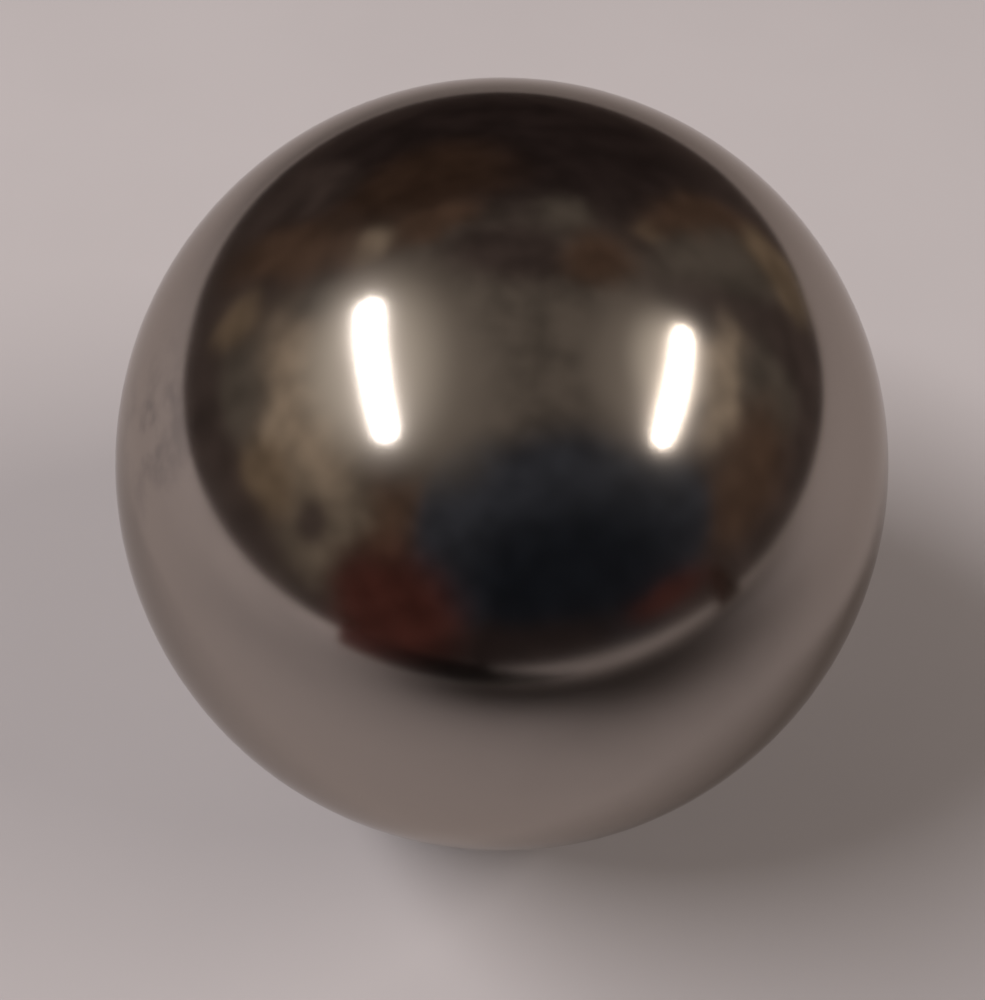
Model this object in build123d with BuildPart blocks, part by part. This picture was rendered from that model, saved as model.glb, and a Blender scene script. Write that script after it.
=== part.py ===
from build123d import *
import os

# A solid steel ball, ground and polished to one diameter, in millimetres.
# The origin is the ball's centre, with +Z up.

# Driving size
ball_diameter = 50.0

# The profile's arc, in degrees: it starts straight below the centre and goes half way round
arc_start = -90.0
arc_sweep = 180.0

# Worked out from the diameter
ball_radius = ball_diameter / 2
top_pole = (0, ball_radius)
bottom_pole = (0, -ball_radius)


# The ball: half a disc, flat side on the upright axis, turned once about that axis
with BuildPart() as ball:
    with BuildSketch(Plane.XZ):
        with BuildLine():
            CenterArc((0, 0), ball_radius, arc_start, arc_sweep)
            Line(top_pole, bottom_pole)
        make_face()
    revolve(axis=Axis.Z)

ball.part.label = "ball"

os.makedirs("parts", exist_ok=True)
export_step(ball.part, "parts/ball.step")
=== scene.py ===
import math

import bmesh
import bpy
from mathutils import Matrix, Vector


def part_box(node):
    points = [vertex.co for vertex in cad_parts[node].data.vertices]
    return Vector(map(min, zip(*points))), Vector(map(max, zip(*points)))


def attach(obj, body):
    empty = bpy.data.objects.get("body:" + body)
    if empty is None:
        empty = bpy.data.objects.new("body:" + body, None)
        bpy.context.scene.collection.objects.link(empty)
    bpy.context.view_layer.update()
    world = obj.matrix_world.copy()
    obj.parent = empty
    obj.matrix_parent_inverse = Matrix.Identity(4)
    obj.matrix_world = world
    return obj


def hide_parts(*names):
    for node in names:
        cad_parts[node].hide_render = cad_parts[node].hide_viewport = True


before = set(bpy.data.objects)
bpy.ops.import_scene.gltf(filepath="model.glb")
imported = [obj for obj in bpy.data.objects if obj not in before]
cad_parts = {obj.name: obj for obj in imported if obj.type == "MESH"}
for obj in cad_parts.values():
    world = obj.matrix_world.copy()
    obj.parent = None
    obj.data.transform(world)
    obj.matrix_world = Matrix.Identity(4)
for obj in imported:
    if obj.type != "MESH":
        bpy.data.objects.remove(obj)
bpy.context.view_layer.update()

# A polished steel ball on a pale floor, under two long lamps, with dim soft surroundings to mirror.
# Everything is in metres, with the origin at the ball's centre.

lowest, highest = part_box("ball")
ball_radius = (highest.z - lowest.z) / 2

# Faces along each edge of the cube that the ball is rounded from
faces_along_edge = 120

# The camera: how far it is, how steeply it looks down, and where the ball lies in the picture,
# in pixels across and down from the top left corner
camera_distance = 4.0 * ball_radius
camera_elevation = math.radians(54.0)
picture_height = 1000.0
picture_centre = (492.5, 500.0)
ball_in_picture = (501.0, 466.3)
ball_radius_in_picture = 386.5
sensor_size = 36.0
camera_sees_from = 0.1 * ball_radius
camera_sees_to = 200.0 * ball_radius

# Ways from the ball to the camera, up in the picture and across it
to_camera = Vector((0, -math.cos(camera_elevation), math.sin(camera_elevation)))
up_the_picture = Vector((0, math.sin(camera_elevation), math.cos(camera_elevation)))
across_the_picture = Vector((1, 0, 0))

# The two long lamps that the ball mirrors, their places worked out from their height over it
lamp_height = 1.9
lamp_length = 0.78 * lamp_height
lamps_along = -0.12 * lamp_height
left_lamp_width = 0.20
left_lamp_across = -0.675 * lamp_height
right_lamp_width = 0.16
right_lamp_across = 1.075 * lamp_height
left_lamp_watts = 47.0
left_lamp_colour = (1.0, 0.985, 0.97)
right_lamp_watts = 50.0
right_lamp_colour = (1.0, 0.94, 0.86)

# The soft key light, which gives the floor its light and the ball its shadow
key_across = -0.75 * lamp_height
key_along = 0.05 * lamp_height
key_width = 0.2 * lamp_height
key_length = lamp_length
key_watts = 62.0

# The floor slab, from the ball's centre to each edge
floor_left = 20.0 * ball_radius
floor_right = 17.0 * ball_radius
floor_near = 30.0 * ball_radius
floor_far = 12.0 * ball_radius
floor_top = -ball_radius
floor_thickness = 0.6 * ball_radius
floor_edge_rounding = 0.08 * ball_radius
floor_edge_steps = 4
smooth_under = math.radians(40.0)

# The gauze shade over the floor, and its dark ovals in ball radii:
# across, along, half width, half length and density
shade_height = 3.0 * ball_radius
shade_half_size = 30.0 * ball_radius
shade_ovals = (
    (0.5, -3.5, 2, 2, 0.8),
    (3, -7, 8, 3, 1.0),
    (-1, -9, 5, 3, 1.0),
    (8, -4.5, 5, 3, 0.75),
    (-3, 8.5, 6, 3.3, 0.55),
    (12, -22, 8, 7, 0.5),
)
shade_full_within = 0.4
shade_gone_at = 1.6

# Two cards stood on the floor, one low at the near left and one narrow at the near right. Each has
# its left end's place and its turn, then how long its top runs level and then slopes to the floor
low_card_place = (Vector((-8.0 * ball_radius, -10.0 * ball_radius, floor_top)), math.radians(-8))
low_card_lengths = (6.0 * ball_radius, 6.0 * ball_radius)
low_card_height = 1.25 * ball_radius
side_card_place = (Vector((10.4 * ball_radius, -7.6 * ball_radius, floor_top)), math.radians(55))
side_card_lengths = (0.8 * ball_radius, 0.8 * ball_radius)
side_card_height = 2.5 * ball_radius
card_tip = 0.1 * ball_radius

# Colours of the surroundings
soot = (0.030, 0.021, 0.020)
umber = (0.055, 0.032, 0.022)
dusk = (0.070, 0.052, 0.047)
brown = (0.110, 0.067, 0.046)
rust = (0.085, 0.028, 0.022)
taupe = (0.120, 0.102, 0.085)
stone = (0.190, 0.155, 0.120)
tan = (0.230, 0.170, 0.115)
cream = (0.400, 0.320, 0.240)
navy = (0.012, 0.015, 0.021)
slate = (0.045, 0.050, 0.063)
haze = (0.270, 0.235, 0.200)
glow = (0.720, 0.660, 0.570)
low_colour = dusk
overhead_colour = (0.150, 0.128, 0.108)
overhead_range = (0.6, 1.0)

# Soft ovals round the ball, each laid over those before it: colour, then azimuth from the far side
# round to the right, elevation, width round the horizon and height, in degrees
surroundings = (
    (soot, 0, 20, 75, 58),
    (umber, -20, 34, 44, 26),
    (dusk, 5, 65, 80, 18),
    (brown, -26, 50, 34, 10),
    (taupe, 20, 48, 18, 12),
    (cream, -44, 44, 15, 9),
    (brown, -50, 24, 16, 40),
    (dusk, -34, 12, 14, 24),
    (brown, 42, 55, 26, 18),
    (tan, 41, 36, 9, 9),
    (brown, 40, 20, 12, 34),
    (taupe, 52, 18, 15, 50),
    (tan, 50, 3, 16, 12),
    (cream, 87, 29, 35, 13),
    (taupe, 80, 15, 22, 18),
    (brown, 103, 14, 36, 20),
    (dusk, 67, 6, 14, 26),
    (brown, -145, 32, 24, 26),
    (stone, -126, 22, 26, 36),
    (cream, -96, 33, 54, 28),
    (tan, -105, 16, 20, 16),
    (dusk, -123, 19, 9, 10),
    (taupe, -83, 16, 24, 18),
    (dusk, -92, 4, 50, 12),
    (tan, -66, 14, 10, 14),
    (taupe, -66, 42, 12, 22),
)
patch_softness = 0.45

# The dark near side, which has a clearer edge, and what lies over it
dark_side = (
    (slate, 162, 29, 84, 62),
    (slate, -170, 38, 36, 45),
    (slate, 132, 26, 38, 32),
)
dark_side_softness = 0.18
over_dark_side = (
    (navy, 160, 20, 66, 42),
    (soot, 178, 3, 60, 14),
    (rust, -152, 8, 32, 34),
    (rust, 136, 6, 20, 9),
)

# The light round the lamps: a wide haze over each, then a bright glow
lamp_glows = (
    (haze, -106, 66, 128, 38),
    (haze, 94, 54, 60, 26),
    (glow, -96, 55, 72, 33),
    (glow, 88, 46, 33, 19),
)
glow_softness = 0.5

# How the patches' edges wander, and how their light is mottled
wander_scale = 5.0
wander_reach = 0.16
mottle_scale = 9.0
mottle_range = (0.7, 1.3)

# Every soft random pattern: how fine and rough it is, its average, and where most of it lies
noise_detail = 3.0
noise_roughness = 0.6
noise_average = 0.5
noise_middle = (0.3, 0.7)

# The steel: its colour, its colour near the outline, and its polish
steel_colour = (0.385, 0.345, 0.315)
steel_edge_tint = (0.77, 0.74, 0.71)
polish_range = (0.11, 0.15)

# A thin film of handling all over the ball, and the steel made darker towards its far left. Places
# and reaches on the ball are in ball radii
film_scale = 60.0
film_range = (0.5, 0.75)
film_tint = (0.93, 0.93, 0.93)
darker_far_left_place = (-0.75, 0.55, 0.35)
darker_far_left_reach = 0.9
darker_far_left_tint = (0.80, 0.80, 0.82)

# Small cloudy smudges on the ball's left side
smudge_place = (-0.80, -0.28, 0.52)
smudge_reach = 0.32
smudge_scale = 300.0
smudge_range = (0.40, 0.70)
smudge_tint = (0.62, 0.63, 0.66)

# The floor's face, the shade's, and each card's at its left and at its right
floor_colour = (0.445, 0.410, 0.424)
floor_mottle_scale = 25.0
floor_mottle_tint = (0.97, 0.97, 0.97)
floor_roughness = 0.9
floor_gloss = 0.1
shade_colour = (0.03, 0.03, 0.03)
low_card_colours = ((0.27, 0.085, 0.07), (0.03, 0.025, 0.027))
side_card_colours = ((0.25, 0.12, 0.09), (0.20, 0.14, 0.11))

# Sockets of the colour blending node by their number, because several of them share a name
blend_share = 0
blend_first = 6
blend_second = 7
blend_result = 2

# Turns
unturned = (0, 0, 0)
stood_up = (math.radians(90), 0, 0)


def radii(*lengths):
    """Lengths given in ball radii, in metres."""
    return tuple(length * ball_radius for length in lengths)


def tinted(colour, tint):
    """A colour seen through a tint."""
    return tuple(part * share for part, share in zip(colour, tint))


def deselect_all():
    """Nothing is selected, so that the next tool acts on its own piece alone."""
    bpy.ops.object.select_all(action="DESELECT")


def edit(piece):
    """Edit mode on this piece, with all of it selected."""
    bpy.context.view_layer.objects.active = piece
    bpy.ops.object.mode_set(mode="EDIT")
    bpy.ops.mesh.select_all(action="SELECT")


def choose_vertices(piece, wanted):
    """In edit mode, the vertices whose place is wanted are selected, and no others."""
    bpy.ops.mesh.select_mode(type="VERT")
    bpy.ops.mesh.select_all(action="DESELECT")
    shape = bmesh.from_edit_mesh(piece.data)
    for vertex in shape.verts:
        vertex.select_set(wanted(vertex.co))
    shape.select_flush_mode()
    bmesh.update_edit_mesh(piece.data)


def leave_edit():
    """Back to object mode."""
    bpy.ops.object.mode_set(mode="OBJECT")


def apply_all_modifiers(piece):
    """The piece's modifiers become its mesh."""
    bpy.context.view_layer.objects.active = piece
    for modifier in list(piece.modifiers):
        bpy.ops.object.modifier_apply(modifier=modifier.name)


def apply_place(piece):
    """The piece's place, turn and size go into its mesh, and its object to the origin."""
    bpy.context.view_layer.objects.active = piece
    piece.select_set(True)
    bpy.ops.object.transform_apply(location=True, rotation=True, scale=True)


def new_material(name):
    """A node material, with its nodes and its main shader."""
    material = bpy.data.materials.new(name)
    material.use_nodes = True
    tree = material.node_tree
    shader = tree.nodes["Principled BSDF"]
    return material, tree, shader


def object_coordinates(tree):
    """Places on the piece, in metres."""
    return tree.nodes.new("ShaderNodeTexCoord").outputs["Object"]


def noise_node(tree, places, scale):
    """A soft random pattern, with so many blobs to the unit of its places."""
    node = tree.nodes.new("ShaderNodeTexNoise")
    node.inputs["Scale"].default_value = scale
    node.inputs["Detail"].default_value = noise_detail
    node.inputs["Roughness"].default_value = noise_roughness
    tree.links.new(places, node.inputs["Vector"])
    return node


def noise(tree, places, scale):
    """The soft random pattern as a number, around a half."""
    return noise_node(tree, places, scale).outputs["Fac"]


def spread(tree, value, low, high, to_low, to_high):
    """The value between low and high, turned smoothly into one between to_low and to_high."""
    node = tree.nodes.new("ShaderNodeMapRange")
    node.interpolation_type = "SMOOTHSTEP"
    node.inputs["From Min"].default_value = low
    node.inputs["From Max"].default_value = high
    node.inputs["To Min"].default_value = to_low
    node.inputs["To Max"].default_value = to_high
    tree.links.new(value, node.inputs["Value"])
    return node.outputs["Result"]


def vector_sum(tree, way, first, second):
    """Two vectors, each a socket or a tuple, put together by the named sum."""
    node = tree.nodes.new("ShaderNodeVectorMath")
    node.operation = way
    for socket, value in zip(node.inputs, (first, second)):
        if isinstance(value, tuple):
            socket.default_value = value
        else:
            tree.links.new(value, socket)
    return node.outputs["Vector"]


def product(tree, first, second):
    """Two numbers multiplied."""
    node = tree.nodes.new("ShaderNodeMath")
    node.operation = "MULTIPLY"
    tree.links.new(first, node.inputs[0])
    tree.links.new(second, node.inputs[1])
    return node.outputs["Value"]


def blend_colours(tree, share, first, second, way="MIX"):
    """The first colour turning into the second by the share. Each is a colour or a socket."""
    node = tree.nodes.new("ShaderNodeMix")
    node.data_type = "RGBA"
    node.blend_type = way
    for place, colour in ((blend_first, first), (blend_second, second)):
        if isinstance(colour, tuple):
            node.inputs[place].default_value = (*colour, 1.0)
        else:
            tree.links.new(colour, node.inputs[place])
    if isinstance(share, float):
        node.inputs[blend_share].default_value = share
    else:
        tree.links.new(share, node.inputs[blend_share])
    return node.outputs[blend_result]


def reach_from(tree, places, centre, turn, half_sizes):
    """How far a place is from a centre, where 1 is the edge of an oval of these half sizes."""
    node = tree.nodes.new("ShaderNodeMapping")
    node.vector_type = "TEXTURE"
    node.inputs["Location"].default_value = centre
    node.inputs["Rotation"].default_value = turn
    node.inputs["Scale"].default_value = half_sizes
    tree.links.new(places, node.inputs["Vector"])
    reach = tree.nodes.new("ShaderNodeVectorMath")
    reach.operation = "LENGTH"
    tree.links.new(node.outputs["Vector"], reach.inputs[0])
    return reach.outputs["Value"]


def nearness(tree, places, centre, reach):
    """1 at a place on the ball, falling softly to 0 at its reach, both in ball radii."""
    half_sizes = radii(reach, reach, reach)
    distance = reach_from(tree, places, radii(*centre), unturned, half_sizes)
    return spread(tree, distance, 0.0, 1.0, 1.0, 0.0)


def make_steel():
    """Lapped and polished steel, dulled a little where it has been handled, darker at its far left.
    """
    material, tree, shader = new_material("polished_steel")
    places = object_coordinates(tree)
    film = noise(tree, places, film_scale)
    film_share = spread(tree, film, *film_range, 0.0, 1.0)
    colour = blend_colours(tree, film_share, steel_colour, tinted(steel_colour, film_tint))
    # The steel made darker towards its far left, by a tint over its colour
    darker_far_left_share = nearness(tree, places, darker_far_left_place, darker_far_left_reach)
    colour = blend_colours(tree, darker_far_left_share, colour, tinted(steel_colour, darker_far_left_tint))
    smudges = spread(tree, noise(tree, places, smudge_scale), *smudge_range, 0.0, 1.0)
    smudge_share = product(tree, smudges, nearness(tree, places, smudge_place, smudge_reach))
    colour = blend_colours(tree, smudge_share, colour, tinted(steel_colour, smudge_tint))
    tree.links.new(colour, shader.inputs["Base Color"])
    tree.links.new(spread(tree, film, *noise_middle, *polish_range), shader.inputs["Roughness"])
    shader.inputs["Metallic"].default_value = 1.0
    shader.inputs["Specular Tint"].default_value = (*steel_edge_tint, 1.0)
    return material


def make_floor_face():
    """A plain pale floor with a slight mottle."""
    material, tree, shader = new_material("floor_face")
    mottle = noise(tree, object_coordinates(tree), floor_mottle_scale)
    share = spread(tree, mottle, *noise_middle, 0.0, 1.0)
    colour = blend_colours(tree, share, floor_colour, tinted(floor_colour, floor_mottle_tint))
    tree.links.new(colour, shader.inputs["Base Color"])
    shader.inputs["Roughness"].default_value = floor_roughness
    shader.inputs["Specular IOR Level"].default_value = floor_gloss
    return material


def make_shade_face():
    """Dark gauze, clear but for soft ovals."""
    material, tree, shader = new_material("shade_face")
    places = object_coordinates(tree)
    clearness = None
    for across, along, half_width, half_length, density in shade_ovals:
        centre = (*radii(across, along), shade_height)
        reach = reach_from(tree, places, centre, unturned, radii(half_width, half_length, 1.0))
        here = spread(tree, reach, shade_full_within, shade_gone_at, 1.0 - density, 1.0)
        clearness = here if clearness is None else product(tree, clearness, here)
    opaque = spread(tree, clearness, 0.0, 1.0, 1.0, 0.0)
    opaque.node.interpolation_type = "LINEAR"
    tree.links.new(opaque, shader.inputs["Alpha"])
    shader.inputs["Base Color"].default_value = (*shade_colour, 1.0)
    shader.inputs["Roughness"].default_value = 1.0
    return material


def make_card_face(name, left, right, colours):
    """Card that turns from one colour at its left end to another at its right."""
    material, tree, shader = new_material(name)
    split = tree.nodes.new("ShaderNodeSeparateXYZ")
    tree.links.new(object_coordinates(tree), split.inputs["Vector"])
    share = spread(tree, split.outputs["X"], left, right, 0.0, 1.0)
    colour = blend_colours(tree, share, *colours)
    tree.links.new(colour, shader.inputs["Base Color"])
    shader.inputs["Roughness"].default_value = 1.0
    return material


def make_ball():
    """The ball: a cube cut into an even grid of faces, then rounded to the true sphere."""
    deselect_all()
    bpy.ops.mesh.primitive_cube_add(size=2 * ball_radius, location=(0, 0, 0))
    piece = bpy.context.object
    piece.name = "polished_ball"
    edit(piece)
    # One subdivide makes at most 100 cuts, so half as many faces are cut first, and then halved
    bpy.ops.mesh.subdivide(number_cuts=faces_along_edge // 2 - 1)
    bpy.ops.mesh.subdivide(number_cuts=1)
    leave_edit()
    rounding = piece.modifiers.new("rounding", "CAST")
    rounding.cast_type = "SPHERE"
    rounding.factor = 1.0
    rounding.use_radius_as_size = False
    rounding.size = ball_radius
    apply_all_modifiers(piece)
    bpy.ops.object.shade_smooth()
    return piece


def make_floor():
    """The floor: a slab pulled down from its top face, with its edges rounded."""
    deselect_all()
    middle = ((floor_right - floor_left) / 2, (floor_far - floor_near) / 2, floor_top)
    bpy.ops.mesh.primitive_plane_add(size=1.0, location=middle)
    piece = bpy.context.object
    piece.name = "floor"
    piece.scale = (floor_left + floor_right, floor_far + floor_near, 1.0)
    apply_place(piece)
    edit(piece)
    bpy.ops.mesh.extrude_region_move(TRANSFORM_OT_translate={"value": (0, 0, -floor_thickness)})
    bpy.ops.mesh.select_all(action="SELECT")
    bpy.ops.mesh.normals_make_consistent(inside=False)
    bpy.ops.mesh.bevel(offset=floor_edge_rounding, segments=floor_edge_steps)
    leave_edit()
    bpy.ops.object.shade_smooth_by_angle(angle=smooth_under)
    return piece


def make_shade():
    """The gauze over the floor. Neither the camera nor the ball shows it."""
    deselect_all()
    bpy.ops.mesh.primitive_plane_add(size=2 * shade_half_size, location=(0, 0, shade_height))
    piece = bpy.context.object
    piece.name = "shade"
    apply_place(piece)
    piece.visible_camera = False
    piece.visible_glossy = False
    return piece


def make_card(name, left_end, turn, level_length, slope_length, height):
    """A card stood on edge: a level stretch, then a sloping one drawn out of its right-hand edge."""
    deselect_all()
    middle = (level_length / 2, 0, height / 2)
    bpy.ops.mesh.primitive_plane_add(size=1.0, location=middle, rotation=stood_up)
    piece = bpy.context.object
    piece.name = name
    piece.scale = (level_length, height, 1.0)
    apply_place(piece)
    edit(piece)
    choose_vertices(piece, lambda place: place.x > level_length / 2)
    bpy.ops.mesh.extrude_region_move(TRANSFORM_OT_translate={"value": (slope_length, 0, 0)})
    past_bend = level_length + slope_length / 2
    choose_vertices(piece, lambda place: place.x > past_bend and place.z > height / 2)
    bpy.ops.transform.translate(value=(0, 0, card_tip - height))
    leave_edit()
    piece.rotation_euler = (0, 0, turn)
    piece.location = left_end
    apply_place(piece)
    piece.visible_camera = False
    piece.visible_shadow = False
    return piece


def stand_card(name, place, lengths, height, colours):
    """A card in its place with its face on, which turns colour from its left to its right."""
    card = make_card(name, *place, *lengths, height)
    left = place[0].x
    right = left + lengths[0]
    card.data.materials.append(make_card_face(name + "_face", left, right, colours))
    return card


def hang_lamp(name, colour, across, along, width, length, watts):
    """One flat lamp overhead, facing down."""
    bpy.ops.object.light_add(type="AREA", location=(across, along, lamp_height))
    lamp = bpy.context.object
    lamp.name = name
    lamp.data.shape = "RECTANGLE"
    lamp.data.size = width
    lamp.data.size_y = length
    lamp.data.energy = watts
    lamp.data.color = colour
    return lamp


def hang_lamps():
    """The left lamp only shows in the ball, the key only lights the rest, the right one does both."""
    place = (left_lamp_across, lamps_along, left_lamp_width, lamp_length)
    left = hang_lamp("left_lamp", left_lamp_colour, *place, left_lamp_watts)
    left.visible_diffuse = False
    place = (right_lamp_across, lamps_along, right_lamp_width, lamp_length)
    hang_lamp("right_lamp", right_lamp_colour, *place, right_lamp_watts)
    place = (key_across, key_along, key_width, key_length)
    key = hang_lamp("key_lamp", left_lamp_colour, *place, key_watts)
    key.visible_glossy = False


def direction(azimuth, elevation):
    """A way out from the ball: azimuth from the far side round to the right, elevation upwards."""
    turn = math.radians(azimuth)
    rise = math.radians(elevation)
    level = math.cos(rise)
    return Vector((math.sin(turn) * level, math.cos(turn) * level, math.sin(rise)))


def soft_patch(tree, ways, under, softness, colour, azimuth, elevation, width, height):
    """A soft oval of colour in the surroundings, laid over what is under it."""
    centre = direction(azimuth, elevation)
    turn = centre.to_track_quat("Z", "Y").to_euler()
    half_width = math.radians(width) / 2 * math.cos(math.radians(elevation))
    half_height = math.radians(height) / 2
    reach = reach_from(tree, ways, centre, turn, (half_width, half_height, 1.0))
    share = spread(tree, reach, 1.0 - softness, 1.0 + softness, 1.0, 0.0)
    return blend_colours(tree, share, under, colour)


def mottled(tree, ways, colour):
    """The colour with soft uneven light on it."""
    light = spread(tree, noise(tree, ways, mottle_scale), *noise_middle, *mottle_range)
    grey = tree.nodes.new("ShaderNodeCombineXYZ")
    for socket in grey.inputs:
        tree.links.new(light, socket)
    return blend_colours(tree, 1.0, colour, grey.outputs["Vector"], "MULTIPLY")


def make_surroundings():
    """Dim surroundings: dark low down, grey-brown overhead, with soft uneven patches."""
    world = bpy.data.worlds.new("dim_surroundings")
    bpy.context.scene.world = world
    world.use_nodes = True
    tree = world.node_tree
    ways = tree.nodes.new("ShaderNodeTexCoord").outputs["Generated"]
    split = tree.nodes.new("ShaderNodeSeparateXYZ")
    tree.links.new(ways, split.inputs["Vector"])
    overhead = spread(tree, split.outputs["Z"], *overhead_range, 0.0, 1.0)
    colour = blend_colours(tree, overhead, low_colour, overhead_colour)
    wander = noise_node(tree, ways, wander_scale).outputs["Color"]
    wander = vector_sum(tree, "SUBTRACT", wander, (noise_average, noise_average, noise_average))
    wander = vector_sum(tree, "MULTIPLY", wander, (wander_reach, wander_reach, wander_reach))
    wandering = vector_sum(tree, "ADD", ways, wander)
    for patch in surroundings:
        colour = soft_patch(tree, wandering, colour, patch_softness, *patch)
    for patch in dark_side:
        colour = soft_patch(tree, ways, colour, dark_side_softness, *patch)
    for patch in over_dark_side:
        colour = soft_patch(tree, wandering, colour, patch_softness, *patch)
    colour = mottled(tree, ways, colour)
    for patch in lamp_glows:
        colour = soft_patch(tree, ways, colour, glow_softness, *patch)
    background = tree.nodes["Background"]
    tree.links.new(colour, background.inputs["Color"])
    background.inputs["Strength"].default_value = 1.0
    world.cycles.sampling_method = "NONE"


def make_camera():
    """The camera, looking down at the ball so that it fills the picture as measured."""
    outline_angle = math.asin(ball_radius / camera_distance)
    focal_pixels = ball_radius_in_picture / math.tan(outline_angle)
    bpy.ops.object.camera_add(location=camera_distance * to_camera)
    camera = bpy.context.object
    camera.name = "camera"
    camera.data.sensor_width = sensor_size
    camera.data.lens = sensor_size * focal_pixels / picture_height
    camera.data.clip_start = camera_sees_from
    camera.data.clip_end = camera_sees_to
    aside = ball_in_picture[0] - picture_centre[0]
    above = picture_centre[1] - ball_in_picture[1]
    aim = -focal_pixels * to_camera - aside * across_the_picture - above * up_the_picture
    camera.rotation_euler = aim.to_track_quat("-Z", "Y").to_euler()
    bpy.context.scene.camera = camera


def set_the_view():
    """Plain colours, as they are written."""
    bpy.context.scene.view_settings.view_transform = "Standard"


ball = make_ball()
ball.data.materials.clear()
ball.data.materials.append(make_steel())
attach(ball, "root")
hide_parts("ball")

floor = make_floor()
floor.data.materials.append(make_floor_face())

shade = make_shade()
shade.data.materials.append(make_shade_face())

low_card = stand_card("low_card", low_card_place, low_card_lengths, low_card_height, low_card_colours)

side_card = stand_card(
    "side_card", side_card_place, side_card_lengths, side_card_height, side_card_colours
)

hang_lamps()
make_surroundings()
make_camera()
set_the_view()
